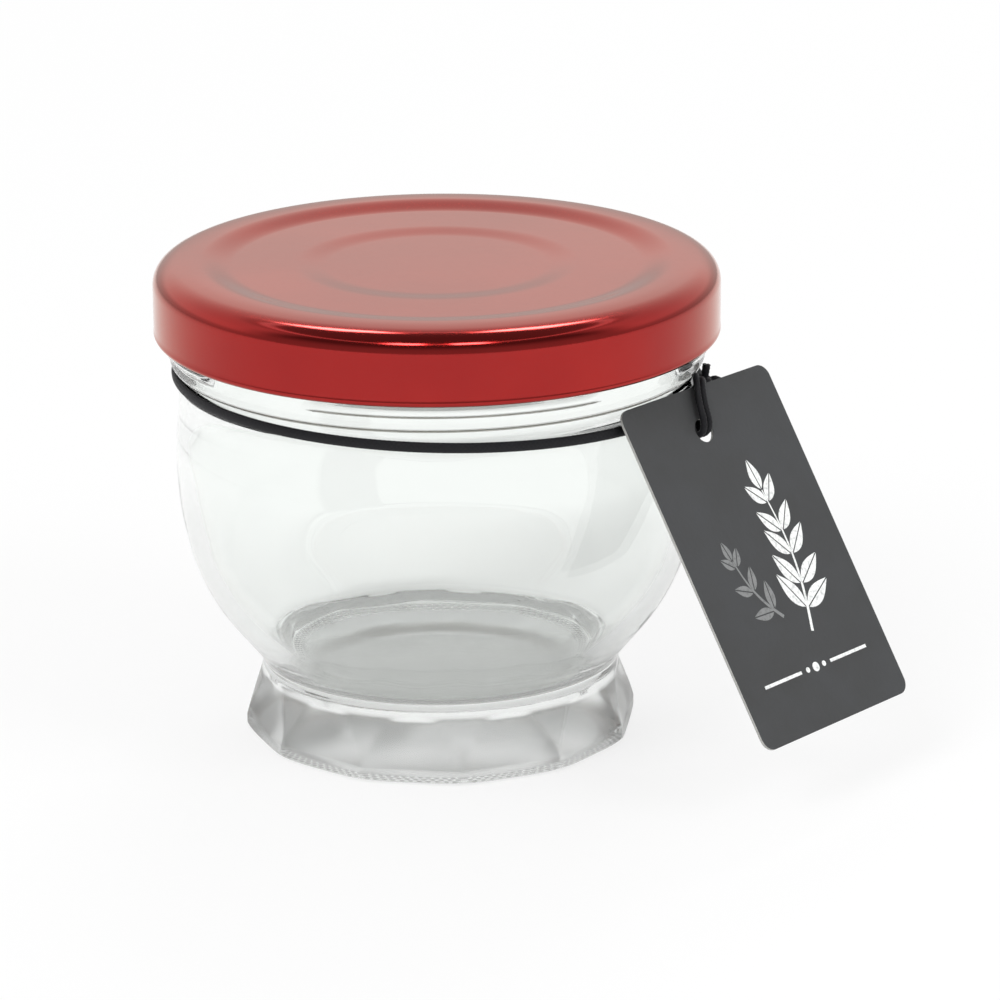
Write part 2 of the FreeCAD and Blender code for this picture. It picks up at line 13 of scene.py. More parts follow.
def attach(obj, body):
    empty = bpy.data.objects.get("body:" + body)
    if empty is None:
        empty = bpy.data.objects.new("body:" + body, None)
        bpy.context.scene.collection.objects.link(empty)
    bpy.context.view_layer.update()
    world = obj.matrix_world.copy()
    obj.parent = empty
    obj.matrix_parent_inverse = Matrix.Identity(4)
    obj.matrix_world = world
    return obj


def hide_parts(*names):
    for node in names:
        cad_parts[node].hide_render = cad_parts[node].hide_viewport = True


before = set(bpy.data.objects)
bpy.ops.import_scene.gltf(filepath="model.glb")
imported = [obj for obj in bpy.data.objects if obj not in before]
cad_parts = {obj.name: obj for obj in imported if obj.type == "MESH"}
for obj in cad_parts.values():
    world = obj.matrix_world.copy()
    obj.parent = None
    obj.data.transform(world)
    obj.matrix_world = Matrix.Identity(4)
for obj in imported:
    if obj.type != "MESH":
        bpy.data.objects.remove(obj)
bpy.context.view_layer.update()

TO_METRES = Matrix.Scale(0.001, 4)

# Jar, as the CAD part has it.
WALL = 2.6
UPPER_CURVE = 54.6
LOWER_CURVE = 31.0
WAIST_CURVE = 4.3
FLOOR_ROUND = 6.0
BOWL_BREAK = math.radians(-13.75)
UPPER_MIDDLE = (-15.28, 42.6)
LOWER_MIDDLE = (UPPER_MIDDLE[0] + (UPPER_CURVE - LOWER_CURVE) * math.cos(BOWL_BREAK),
                UPPER_MIDDLE[1] + (UPPER_CURVE - LOWER_CURVE) * math.sin(BOWL_BREAK))
WAIST_MIDDLE = (31.36, 10.2)
WAIST_START = 201.43
SHOULDER_CURVE = 12.0
SHOULDER_MIDDLE = (50.79, 50.986)
SHOULDER_TURN = 7.23
NECK_RADIUS = 38.79
NECK_TOP = 57.1
BEAD_LEVEL = 58.46
FINISH_RADIUS = 39.95
FINISH_TOP = 71.15
MOUTH_RADIUS = 36.72
LIP_ROUND = 1.2
FLOOR_LEVEL = 11.4
BOWL_LEVEL = 42.6

# Foot: an upright band, facets above it, a standing ring and a shallow hollow.
FOOT_RADIUS = 29.96
FOOT_BAND = 2.0
RING_LEVEL = 0.14
RING_INNER = 24.7
RING_OUTER = 28.7
RING_ROUND = 1.1
HOLLOW_HEIGHT = 1.8
FACETS = 12
FACET_TURN = math.radians(-8.6)
FACET_TOP = 9.0
DOT_ROWS_MIDDLE = 26.55
DOT_ROWS_APART = 1.18

# Threads, and the inside of the neck, where the wall is thickest.
THREADS = 4
THREAD_LEVEL = 60.5
THREAD_HALF = 0.8
THREAD_SPAN = (59.6, 61.4)
NECK_INSIDE = 35.4
NECK_INSIDE_LEVEL = 51.5

# Columns round a turned piece, and how many more of them the foot has.
COLUMNS = 288
FOOT_FINER = 3

# Lid: a sheet pressed into a centre disc, a panel and a crown, with a curled hem.
SHEET = 0.3
DISC_LEVEL = 71.62
PANEL_LEVEL = 71.92
CROWN_LEVEL = 72.7
CROWN_INSIDE = 72.38
DISC_STEP = (16.2, 21.4)
PANEL_STEP = (30.2, 35.4)
BEND_START = 38.85
SKIRT_RADIUS = 42.2
SKIRT_TOP = 69.3
CURL_MIDDLE = (41.6, 62.45)
CURL_ROUND = 0.65
CURL_ROWS = 12

# Cord round the neck.
ELASTIC_RADIUS = 0.80
ELASTIC_CLEAR = 0.05
ELASTIC_SEAT = 0.03
ELASTIC_FLAT = 0.58
CORD_LEVEL = 54.77
CORD_SLOPE = (-0.0313, -0.0094)
KNOT_AZIMUTH = math.radians(-12.0)
KNOT_MIDDLE = 40.31
KNOT_LEVEL = 54.92
KNOT_GAP = math.radians(2.2)
KNOT_RADIUS = 0.62
KNOT_TAIL = [(1.3, 0.50, 3.6), (1.4, 0.35, 2.4), (1.7, 0.15, 1.2)]
KNOT_END = [(-0.9, 0.9, 0.5), (-1.0, 1.5, 0.7), (-1.1, 2.0, 0.4)]
BRAID_SIDES = 32
BRAID_YARNS = 6

# Tag: its frame is across, up the card and out of its face.
TAG_WIDTH = 34.0
TAG_LENGTH = 53.1
TAG_THICKNESS = 0.5
TAG_CORNER = 2.0
TAG_HOLE_RADIUS = 1.8
TAG_HOLE_AT = (-1.5, -6.5)
TAG_TURN = math.radians(-41.9)
TAG_LEAN = math.radians(31.6)
TAG_TOP_BACK = (38.94, 11.8, 57.0)
CARD_EDGE = 0.05
INK_SUNK = 0.005
RULE_LEVEL = -44.5

# The strands' way from the knot over the card, through its hole and back:
# across from the hole, up from the top edge, out from the middle of the card,
# and the way from one strand to the other.
STRAND_RADIUS = 0.525
STRAND_GAP = 0.1
STRAND_ROUTE = [
    (Vector((4.5, 1.1, -0.7)), Vector((0.4, -0.8, 0.4))),
    (Vector((2.6, 1.05, 1.15)), Vector((0.7, -0.7, 0.0))),
    (Vector((0.9, -2.4, 1.2)), Vector((0.9, -0.4, 0.0))),
    (Vector((0.1, -6.6, 1.15)), Vector((1.0, 0.0, 0.0))),
    (Vector((-0.1, -7.0, -1.5)), Vector((1.0, 0.0, 0.0))),
    (Vector((1.6, -4.0, -2.0)), Vector((0.9, -0.4, 0.0))),
    (Vector((5.2, -0.7, -2.3)), Vector((0.5, -0.9, 0.0))),
]


# ---------------------------------------------------------------- node helpers

class Field:
    """A number in a node tree, so that a rule reads as a sum."""

    def __init__(self, tree, socket):
        self.tree = tree
        self.socket = socket

    def step(self, operation, *others):
        node = self.tree.nodes.new("ShaderNodeMath")
        node.operation = operation
        for place, value in enumerate((self, *others)):
            feed(self.tree, node.inputs[place], value)
        return Field(self.tree, node.outputs[0])

    def __add__(self, other):
        return self.step("ADD", other)

    def __sub__(self, other):
        return self.step("SUBTRACT", other)

    def __mul__(self, other):
        return self.step("MULTIPLY", other)

    def __truediv__(self, other):
        return self.step("DIVIDE", other)

    def remainder(self):
        """1 less the number."""
        return self * -1.0 + 1.0

    def nearest(self):
        return self.step("ROUND")

    def between(self, low, high):
        return self.step("MAXIMUM", low).step("MINIMUM", high)

    def rise(self, start, end):
        """0 up to start, 1 from end on, softly between; start may be the higher one."""
        node = self.tree.nodes.new("ShaderNodeMapRange")
        node.interpolation_type = "SMOOTHSTEP"
        feed(self.tree, node.inputs["Value"], self)
        feed(self.tree, node.inputs["From Min"], start)
        feed(self.tree, node.inputs["From Max"], end)
        return Field(self.tree, node.outputs["Result"])


def feed(tree, socket, value):
    """Gives a socket a number, a colour or the output of another node."""
    if isinstance(value, Field):
        tree.links.new(value.socket, socket)
    elif isinstance(value, bpy.types.NodeSocket):
        tree.links.new(value, socket)
    else:
        socket.default_value = value


def node_with(tree, kind, settings=None, **inputs):
    """A new node with its settings and its inputs, named by their sockets."""
    node = tree.nodes.new(kind)
    for name, value in (settings or {}).items():
        setattr(node, name, value)
    for name, value in inputs.items():
        feed(tree, node.inputs[name.replace("_", " ")], value)
    return node


class Maker:
    """A Geometry Nodes tree with named inputs."""

    def __init__(self, name, numbers, material):
        self.tree = bpy.data.node_groups.new(name, "GeometryNodeTree")
        self.values = {}
        face = self.tree.interface
        face.new_socket("Geometry", in_out="INPUT", socket_type="NodeSocketGeometry")
        face.new_socket("Geometry", in_out="OUTPUT", socket_type="NodeSocketGeometry")
        for label, value in numbers.items():
            socket = face.new_socket(label, in_out="INPUT", socket_type="NodeSocketFloat")
            self.values[socket.identifier] = float(value)
        socket = face.new_socket("Finish", in_out="INPUT", socket_type="NodeSocketMaterial")
        self.values[socket.identifier] = material
        self.start = self.tree.nodes.new("NodeGroupInput")

    def number(self, label):
        return Field(self.tree, self.start.outputs[label])

    def position(self):
        """The three coordinates of a point."""
        place = self.tree.nodes.new("GeometryNodeInputPosition")
        split = node_with(self.tree, "ShaderNodeSeparateXYZ", Vector=place.outputs[0])
        return [Field(self.tree, split.outputs[axis]) for axis in "XYZ"]

    def finish(self, geometry):
        tree = self.tree
        smooth = node_with(tree, "GeometryNodeSetShadeSmooth", Geometry=geometry)
        whole = node_with(tree, "GeometryNodeRealizeInstances", Geometry=smooth.outputs[0])
        paint = node_with(tree, "GeometryNodeSetMaterial", Geometry=whole.outputs[0],
                          Material=self.start.outputs["Finish"])
        end = tree.nodes.new("NodeGroupOutput")
        tree.links.new(paint.outputs[0], end.inputs[0])

    def apply(self, source, name):
        """The plain mesh, in metres, that the tree makes of a source object."""
        modifier = source.modifiers.new("maker", "NODES")
        modifier.node_group = self.tree
        for identifier, value in self.values.items():
            modifier[identifier] = value
        graph = bpy.context.evaluated_depsgraph_get()
        made = source.evaluated_get(graph)
        mesh = bpy.data.meshes.new_from_object(made, depsgraph=graph)
        bpy.data.objects.remove(source)
        mesh.transform(TO_METRES)
        return piece_of(mesh, name)


def piece_of(mesh, name):
    mesh.name = name
    piece = bpy.data.objects.new(name, mesh)
    bpy.context.scene.collection.objects.link(piece)
    return piece


def settle(piece, node):
    """The piece stands for its CAD node and rides on the one body."""
    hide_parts(node)
    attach(piece, "root")


# ------------------------------------------------------------------- materials

def new_material(name):
    """A material, its node tree and its main shader."""
    material = bpy.data.materials.new(name)
    material.use_nodes = True
    tree = material.node_tree
    return material, tree, tree.nodes["Principled BSDF"]


def object_noise(tree, scale, detail=3.0, roughness=0.5):
    """Noise that sits still on the object; scale is in waves to the metre."""
    where = tree.nodes.new("ShaderNodeTexCoord")
    node = node_with(tree, "ShaderNodeTexNoise", Vector=where.outputs["Object"],
                     Scale=scale, Detail=detail, Roughness=roughness)
    return Field(tree, node.outputs["Fac"])


def mix_colours(tree, factor, dark, light):
    node = tree.nodes.new("ShaderNodeMix")
    node.data_type = "RGBA"
    feed(tree, node.inputs[0], factor)
    feed(tree, node.inputs[6], dark)
    feed(tree, node.inputs[7], light)
    return node.outputs[2]


def bump(tree, shader, height, strength, distance):
    node = node_with(tree, "ShaderNodeBump", Height=height, Strength=strength,
                     Distance=distance)
    tree.links.new(node.outputs["Normal"], shader.inputs["Normal"])


def pressed_glass():
    """Clear soda glass, faintly rippled, with a frosted stipple on its underside."""
    material, tree, shader = new_material("pressed_glass")
    shader.inputs["Base Color"].default_value = (0.968, 0.985, 0.972, 1.0)
    shader.inputs["Transmission Weight"].default_value = 1.0
    shader.inputs["IOR"].default_value = 1.51
    haze = object_noise(tree, 220.0, 4.0)
    spot = tree.nodes.new("ShaderNodeTexCoord")
    split = node_with(tree, "ShaderNodeSeparateXYZ", Vector=spot.outputs["Object"])
    x, y, level = [Field(tree, split.outputs[axis]) for axis in "XYZ"]
    reach = (x * x + y * y).step("SQRT")
    under = level.rise(0.0022, 0.0019) * reach.rise(0.0289, 0.0286)  # metres
    frost = under * (object_noise(tree, 90.0, 1.0) * 0.04 + 0.18)
    feed(tree, shader.inputs["Roughness"], haze.rise(0.45, 0.85) * 0.03 + frost)
    bump(tree, shader, object_noise(tree, 110.0, 1.0), 0.06, 0.0005)
    return material


def red_lacquer():
    """Translucent red lacquer over bright tin plate."""
    material, tree, shader = new_material("red_lacquer")
    cloud = object_noise(tree, 38.0, 3.0).rise(0.3, 0.7)
    feed(tree, shader.inputs["Base Color"],
         mix_colours(tree, cloud, (0.330, 0.007, 0.006, 1.0), (0.385, 0.011, 0.008, 1.0)))
    shader.inputs["Metallic"].default_value = 1.0
    grain = object_noise(tree, 900.0, 3.0)
    feed(tree, shader.inputs["Roughness"], grain * 0.08 + 0.09)
    shader.inputs["Specular Tint"].default_value = (1.0, 0.90, 0.80, 1.0)
    shader.inputs["Coat Weight"].default_value = 0.5
    shader.inputs["Coat Roughness"].default_value = 0.08
    shader.inputs["Coat IOR"].default_value = 1.5
    bump(tree, shader, object_noise(tree, 650.0, 2.0), 0.03, 0.0002)
    return material


def lid_lining():
    """Pale lacquer inside the lid."""
    material, tree, shader = new_material("lid_lining")
    tone = object_noise(tree, 120.0, 3.0)
    feed(tree, shader.inputs["Base Color"],
         mix_colours(tree, tone, (0.60, 0.57, 0.50, 1.0), (0.70, 0.67, 0.60, 1.0)))
    feed(tree, shader.inputs["Roughness"], tone * 0.2 + 0.25)
    return material


def braid_black():
    """Dyed black elastic, with painted highlight on the yarn crowns and painted shade in the
    grooves between the yarns.
    """
    material, tree, shader = new_material("braid_black")
    # The stored crown height drives painted highlight on the crowns and painted shade between the
    # yarns.
    crown = tree.nodes.new("ShaderNodeAttribute")
    crown.attribute_name = "yarn_crown"
    lift = Field(tree, crown.outputs["Fac"])
    fibre = object_noise(tree, 4200.0, 2.0)
    tone = (lift * 0.7 + fibre * 0.5).between(0.0, 1.0)
    feed(tree, shader.inputs["Base Color"],
         mix_colours(tree, tone, (0.0015, 0.0015, 0.002, 1.0), (0.012, 0.012, 0.014, 1.0)))
    feed(tree, shader.inputs["Roughness"], fibre * 0.25 + 0.42)
    shader.inputs["Specular IOR Level"].default_value = 0.22
    shader.inputs["Sheen Weight"].default_value = 0.06
    shader.inputs["Sheen Roughness"].default_value = 0.4
    bump(tree, shader, fibre, 0.35, 0.0001)
    return material


def charcoal_card():
    """Charcoal board with a faintly mottled, slightly blue printed ground."""
    material, tree, shader = new_material("charcoal_card")
    patches = object_noise(tree, 70.0, 4.0, 0.6).rise(0.35, 0.7)
    speckle = object_noise(tree, 1500.0, 3.0)
    ground = mix_colours(tree, patches, (0.036, 0.037, 0.038, 1.0), (0.042, 0.044, 0.047, 1.0))
    tone = mix_colours(tree, speckle * 0.25, ground, (0.085, 0.086, 0.086, 1.0))
    feed(tree, shader.inputs["Base Color"], tone)
    feed(tree, shader.inputs["Roughness"], speckle * 0.2 + 0.5)
    bump(tree, shader, speckle, 0.25, 0.00012)
    return material


def cut_board():
    """The paler core that shows where the card is cut."""
    material, tree, shader = new_material("cut_board")
    fibre = object_noise(tree, 2400.0, 4.0)
    feed(tree, shader.inputs["Base Color"],
         mix_colours(tree, fibre, (0.30, 0.30, 0.29, 1.0), (0.52, 0.52, 0.50, 1.0)))
    shader.inputs["Roughness"].default_value = 0.85
    bump(tree, shader, fibre, 0.4, 0.0001)
    return material


def printing_ink(name, thin, full):
    """Matt ink that lets the ground through a little."""
    material, tree, shader = new_material(name)
    cover = object_noise(tree, 1900.0, 4.0).rise(0.25, 0.55)
    feed(tree, shader.inputs["Base Color"], mix_colours(tree, cover, thin, full))
    shader.inputs["Roughness"].default_value = 0.55
    return material


# ------------------------------------------------------------------ turned work

def arc(centre, radius, start, end, step):
    """Points (radius, level) of an arc, its angles in degrees up from outward."""
    count = max(2, math.ceil(abs(math.radians(end - start)) * radius / step))
    turns = [math.radians(start + (end - start) * i / count) for i in range(count + 1)]
    return [(centre[0] + radius * math.cos(t), centre[1] + radius * math.sin(t)) for t in turns]


def run(start, end, step):
    """Points (radius, level) of a straight run."""
    count = max(1, math.ceil(math.dist(start, end) / step))
    return [(start[0] + (end[0] - start[0]) * i / count,
             start[1] + (end[1] - start[1]) * i / count) for i in range(count + 1)]


def joined(*stretches):
    """One profile of stretches that follow each other."""
    points = []
    for stretch in stretches:
        for point in stretch:
            if not points or math.dist(points[-1], point) > 0.02:
                points.append(point)
    return points


def turned_faces(rows):
    """Faces between rows of vertices that hold as many, or three times as many."""
    faces = []
    for low, high in zip(rows, rows[1:]):
        few, many = sorted((low, high), key=len)
        if len(few) == 1:
            faces += [(few[0], many[i], many[(i + 1) % len(many)]) for i in range(len(many))]
            continue
        times = len(many) // len(few)
        for i in range(len(few)):
            fan = [many[(times * i + k) % len(many)] for k in range(times, -1, -1)]
            faces.append((few[i], few[(i + 1) % len(few)], *fan))
    return faces


def turned_mesh(name, profile, columns_at, turn=0.0):
    """A mesh turned round the Z axis; a point on the axis closes a pole."""
    vertices = []
    rows = []
    for radius, level in profile:
        count = 1 if radius < 1e-6 else columns_at(radius, level)
        row = []
        for i in range(count):
            angle = turn + 2.0 * math.pi * i / count
            row.append(len(vertices))
            vertices.append((radius * math.cos(angle), radius * math.sin(angle), level))
        rows.append(row)
    mesh = bpy.data.meshes.new(name)
    mesh.from_pydata(vertices, [], turned_faces(rows))
    outward(mesh)
    return mesh, rows


def outward(mesh):
    """Turns the faces of a closed mesh out of its solid."""
    work = bmesh.new()
    work.from_mesh(mesh)
    bmesh.ops.recalc_face_normals(work, faces=work.faces)
    work.to_mesh(mesh)
    work.free()


# ------------------------------------------------------------------------- jar

def flare_turn():
    """The way out of the straight flare that joins the bowl's curve to the waist's."""
    away = (WAIST_MIDDLE[0] - LOWER_MIDDLE[0], WAIST_MIDDLE[1] - LOWER_MIDDLE[1])
    apart = math.hypot(*away)
    return math.atan2(away[1], away[0]) + math.acos((LOWER_CURVE + WAIST_CURVE) / apart)


def at_turn(middle, radius, turn):
    return (middle[0] + radius * math.cos(turn), middle[1] + radius * math.sin(turn))


def jar_profile():
    """From the middle of the base, up the outside and down the inside."""
    return joined(jar_outside(), jar_inside())


def jar_outside():
    """Hollow, ring, foot, waist, flare, bowl, shoulder, neck, bead, finish and lip."""
    turn = flare_turn()
    slope = math.degrees(turn)
    bend = math.degrees(BOWL_BREAK)
    ring_corner = (FOOT_RADIUS - RING_ROUND, RING_LEVEL + RING_ROUND)
    foot_top = at_turn(WAIST_MIDDLE, WAIST_CURVE, math.radians(WAIST_START))
    flare_low = at_turn(WAIST_MIDDLE, WAIST_CURVE, turn + math.pi)
    flare_high = at_turn(LOWER_MIDDLE, LOWER_CURVE, turn)
    bead_round = FINISH_RADIUS - NECK_RADIUS
    low_thread, high_thread = THREAD_SPAN
    return joined(
        hollow(HOLLOW_HEIGHT, RING_INNER - 0.1, RING_LEVEL, 0.7),
        run((RING_INNER, RING_LEVEL), (RING_OUTER, RING_LEVEL), 0.17),
        arc(ring_corner, RING_ROUND, -86.0, 0.0, 0.2),
        run((FOOT_RADIUS, ring_corner[1]), (FOOT_RADIUS, FOOT_BAND), 0.25),
        run((FOOT_RADIUS, FOOT_BAND), foot_top, 0.33),
        arc(WAIST_MIDDLE, WAIST_CURVE, WAIST_START, slope + 180.0, 0.28),
        run(flare_low, flare_high, 0.8),
        arc(LOWER_MIDDLE, LOWER_CURVE, slope, bend, 1.1),
        arc(UPPER_MIDDLE, UPPER_CURVE, bend, SHOULDER_TURN, 1.5),
        arc(SHOULDER_MIDDLE, SHOULDER_CURVE, 180.0 + SHOULDER_TURN, 180.0, 0.5),
        run((NECK_RADIUS, 50.99), (NECK_RADIUS, NECK_TOP), 1.2),
        arc((NECK_RADIUS + 0.2, NECK_TOP), 0.2, 180.0, 100.0, 0.1),
        arc((NECK_RADIUS, BEAD_LEVEL), bead_round, -80.0, 0.0, 0.18),
        run((FINISH_RADIUS, BEAD_LEVEL), (FINISH_RADIUS, low_thread), 0.3),
        run((FINISH_RADIUS, low_thread), (FINISH_RADIUS, high_thread), 0.11),
        run((FINISH_RADIUS, high_thread), (FINISH_RADIUS, FINISH_TOP), 2.0),
        arc((FINISH_RADIUS - LIP_ROUND, FINISH_TOP), LIP_ROUND, 0.0, 90.0, 0.25),
    )


def jar_inside():
    """Lip, mouth, neck, bowl, flare and the rounded floor."""
    turn = flare_turn()
    slope = math.degrees(turn)
    bend = math.degrees(BOWL_BREAK)
    flare_high = at_turn(LOWER_MIDDLE, LOWER_CURVE - WALL, turn)
    round_level = FLOOR_LEVEL + FLOOR_ROUND
    reach = LOWER_CURVE - WALL - FLOOR_ROUND
    round_radius = LOWER_MIDDLE[0] + (reach - (round_level - LOWER_MIDDLE[1])
                                      * math.sin(turn)) / math.cos(turn)
    flare_low = at_turn((round_radius, round_level), FLOOR_ROUND, turn)
    thickest = (NECK_INSIDE, NECK_INSIDE_LEVEL)
    return joined(
        arc((MOUTH_RADIUS + LIP_ROUND, FINISH_TOP), LIP_ROUND, 90.0, 180.0, 0.25),
        run((MOUTH_RADIUS, FINISH_TOP), (MOUTH_RADIUS, 57.5), 2.0),
        bent((MOUTH_RADIUS, 57.5), (MOUTH_RADIUS, 54.5), (NECK_INSIDE, 55.0), thickest, 8),
        bent(thickest, (NECK_INSIDE, 48.0), (MOUTH_RADIUS, 47.0),
             (MOUTH_RADIUS, BOWL_LEVEL), 10),
        arc(UPPER_MIDDLE, UPPER_CURVE - WALL, 0.0, bend, 1.5),
        arc(LOWER_MIDDLE, LOWER_CURVE - WALL, bend, slope, 1.1),
        run(flare_high, flare_low, 0.8),
        arc((round_radius, round_level), FLOOR_ROUND, slope, -90.0, 0.4),
        run((round_radius, FLOOR_LEVEL), (0.0, FLOOR_LEVEL), 1.8),
    )


def hollow(height, reach, rim, step):
    """The shallow dome under the base, from its middle to the standing ring."""
    count = math.ceil(reach / step)
    points = []
    for i in range(count + 1):
        radius = reach * i / count
        points.append((radius, rim + (height - rim) * (1.0 - (radius / reach) ** 2)))
    return points


def jar_columns(radius, level):
    on_foot = level < FACET_TOP + 0.6 and radius > RING_INNER - 0.05
    return COLUMNS * FOOT_FINER if on_foot else COLUMNS


def jar_rule(material):
    """Cuts the foot's facets, raises the threads and dots the standing ring."""
    maker = Maker("pressed_jar", {
        "Facet Turn": FACET_TURN,
        "Facet Reach": 28.76,
        "Facet Draft": 1.76 / (FACET_TOP - FOOT_BAND),
        "Edge Blend": 0.22,
        "Thread Turn": math.radians(-86.3),
        "Thread Half Sweep": math.radians(31.5),
        "Thread Reach": 0.75,
        "Dots Round": 132.0,
        "Dot Radius": 0.46,
        "Dot Depth": 0.14,
        "Ripple": 0.05,
    }, material)
    x, y, z = maker.position()
    radius = (x * x + y * y).step("SQRT")
    angle = y.step("ARCTAN2", x)
    faceted = foot_facets(maker, radius, angle, z)
    threaded = faceted + finish_threads(maker, radius, angle, z)
    stretch = (threaded + ripple(maker)) / radius.step("MAXIMUM", 0.001)
    near_axis = radius.rise(0.5, 4.0)
    scale = (stretch - 1.0) * near_axis + 1.0
    level = z - base_dots(maker, radius, angle, z)
    placed = node_with(maker.tree, "ShaderNodeCombineXYZ", X=x * scale, Y=y * scale, Z=level)
    moved = node_with(maker.tree, "GeometryNodeSetPosition",
                      Geometry=maker.start.outputs["Geometry"], Position=placed.outputs[0])
    maker.finish(moved.outputs[0])
    return maker


def foot_facets(maker, radius, angle, level):
    """The radius cut back to flat faces that lean in and run out at the waist."""
    share = 2.0 * math.pi / FACETS
    turn = (angle - maker.number("Facet Turn")) / share
    off = (turn - turn.nearest()) * share
    lean = (level - FOOT_BAND).between(0.0, FACET_TOP - FOOT_BAND) * maker.number("Facet Draft")
    shelf = (level - FACET_TOP).step("MAXIMUM", 0.0).step("POWER", 2.0) * 0.12
    plane = maker.number("Facet Reach") - lean + shelf
    near = plane / off.step("COSINE")
    beside = plane / (off.step("ABSOLUTE") * -1.0 + share).step("COSINE")
    blend = maker.number("Edge Blend")
    flat = near.step("SMOOTH_MIN", beside, blend)
    return radius.step("SMOOTH_MIN", flat, blend)


def finish_threads(maker, radius, angle, level):
    """Short ribs with blunt ends round the finish."""
    share = 2.0 * math.pi / THREADS
    turn = (angle - maker.number("Thread Turn")) / share
    off = ((turn - turn.nearest()) * share).step("ABSOLUTE")
    there = (maker.number("Thread Half Sweep") - off).rise(-0.03, 0.08)
    height = (level - THREAD_LEVEL) / THREAD_HALF
    crown = (height * height).remainder().step("MAXIMUM", 0.0).step("SQRT")
    outside = radius.step("GREATER_THAN", FINISH_RADIUS - 0.45)
    return crown * there * outside * maker.number("Thread Reach")


def base_dots(maker, radius, angle, level):
    """How far the stippled standing ring reaches down at a point."""
    count = maker.number("Dots Round")
    row = ((radius - DOT_ROWS_MIDDLE) / DOT_ROWS_APART).nearest()
    turn = angle / (2.0 * math.pi) * count + row * 0.5
    along = (turn - turn.nearest()) / count * radius * (2.0 * math.pi)
    across = radius - row * DOT_ROWS_APART - DOT_ROWS_MIDDLE
    reach = (along * along + across * across) / maker.number("Dot Radius").step("POWER", 2.0)
    dome = reach.remainder().step("MAXIMUM", 0.0)
    on_ring = radius.step("COMPARE", DOT_ROWS_MIDDLE, 1.75) * level.step("LESS_THAN", 0.5)
    return dome * on_ring * maker.number("Dot Depth")


def ripple(maker):
    """A slow unevenness of the pressed walls."""
    place = maker.tree.nodes.new("GeometryNodeInputPosition")
    noise = node_with(maker.tree, "ShaderNodeTexNoise", Vector=place.outputs[0],
                      Scale=0.055, Detail=1.0)
    wave = Field(maker.tree, noise.outputs["Fac"]) - 0.5
    return wave * maker.number("Ripple")


def make_jar():
    mesh, _ = turned_mesh("jar_blank", jar_profile(), jar_columns, FACET_TURN)
    blank = piece_of(mesh, "jar_blank")
    jar = jar_rule(pressed_glass()).apply(blank, "glass_jar")
    settle(jar, "jar")


# ------------------------------------------------------------------------- lid

def soft_step(start, end, low, high, count):
    """An S-shaped step pressed into the lid."""
    points = []
    for i in range(count + 1):
        t = i / count
        ease = t * t * (3.0 - 2.0 * t)
        points.append((start + (end - start) * t, low + (high - low) * ease))
    return points


def bent(a, b, c, d, count):
    """A cubic bend from a to d that leaves towards b and comes in from c."""
    points = []
    for i in range(count + 1):
        t = i / count
        s = 1.0 - t
        weights = (s ** 3, 3.0 * s * s * t, 3.0 * s * t * t, t ** 3)
        points.append(tuple(sum(w * p[k] for w, p in zip(weights, (a, b, c, d)))
                            for k in (0, 1)))
    return points


def lid_outside():
    """Centre disc, panel, crowned rim, corner, skirt and curled hem."""
    disc, panel, crown = DISC_LEVEL, PANEL_LEVEL, CROWN_LEVEL
    bend = (BEND_START, 72.52)
    skirt = (SKIRT_RADIUS, SKIRT_TOP)
    return joined(
        run((0.0, disc), (DISC_STEP[0], disc), 1.6),
        soft_step(*DISC_STEP, disc, panel, 14),
        run((DISC_STEP[1], panel), (PANEL_STEP[0], panel), 1.5),
        soft_step(*PANEL_STEP, panel, crown, 22),
        bent((PANEL_STEP[1], crown), (36.6, crown), (37.6, 72.66), bend, 10),
        bent(bend, (40.75, 72.30), (SKIRT_RADIUS, 71.2), skirt, 20),
        run(skirt, (SKIRT_RADIUS, 63.3), 1.2),
        arc(CURL_MIDDLE, CURL_ROUND, 22.0, -90.0, 0.12),
    )


def lid_inside():
    """Round the curl and back to the axis under the sheet."""
    disc, panel, crown = DISC_LEVEL - SHEET, PANEL_LEVEL - SHEET, CROWN_INSIDE
    skirt = SKIRT_RADIUS - SHEET
    bend = (BEND_START, crown - 0.02)
    return joined(
        arc(CURL_MIDDLE, CURL_ROUND, -90.0, -270.0, 0.15),
        run((CURL_MIDDLE[0], 63.1), (skirt, 63.25), 0.2),
        run((skirt, 63.25), (skirt, SKIRT_TOP), 1.5),
        bent((skirt, SKIRT_TOP), (skirt, 71.0), (40.6, 72.1), bend, 18),
        run(bend, (PANEL_STEP[1], crown), 1.0),
        soft_step(*PANEL_STEP[::-1], crown, panel, 10),
        run((PANEL_STEP[0], panel), (DISC_STEP[1], panel), 2.0),
        soft_step(*DISC_STEP[::-1], panel, disc, 8),
        run((DISC_STEP[0], disc), (0.0, disc), 2.0),
    )


def make_lid():
    outside = lid_outside()
    inside = lid_inside()
    mesh, rows = turned_mesh("screw_lid", joined(outside, inside), lambda r, z: COLUMNS)
    mesh.materials.append(red_lacquer())
    mesh.materials.append(lid_lining())
    lined = set()
    for row in rows[len(outside) + CURL_ROWS:]:
        lined.update(row)
    for face in mesh.polygons:
        face.use_smooth = True
        face.material_index = int(all(v in lined for v in face.vertices))
    mesh.transform(TO_METRES)
    settle(piece_of(mesh, "screw_lid"), "lid")


# ----------------------------------------------------------------------- cords

def path_object(name, points, smooth=True):
    """An open path; a smooth one is a quadratic spline held by its points."""
    curve = bpy.data.curves.new(name, "CURVE")
    curve.dimensions = "3D"
    curve.twist_mode = "MINIMUM"
    spline = curve.splines.new("NURBS" if smooth else "POLY")
    spline.points.add(len(points) - 1)
    for place, point in zip(spline.points, points):
        place.co = (*point, 1.0)
    if smooth:
        spline.order_u = 3
        spline.use_endpoint_u = True
        spline.resolution_u = 24
    path = bpy.data.objects.new(name, curve)
    bpy.context.scene.collection.objects.link(path)
    return path


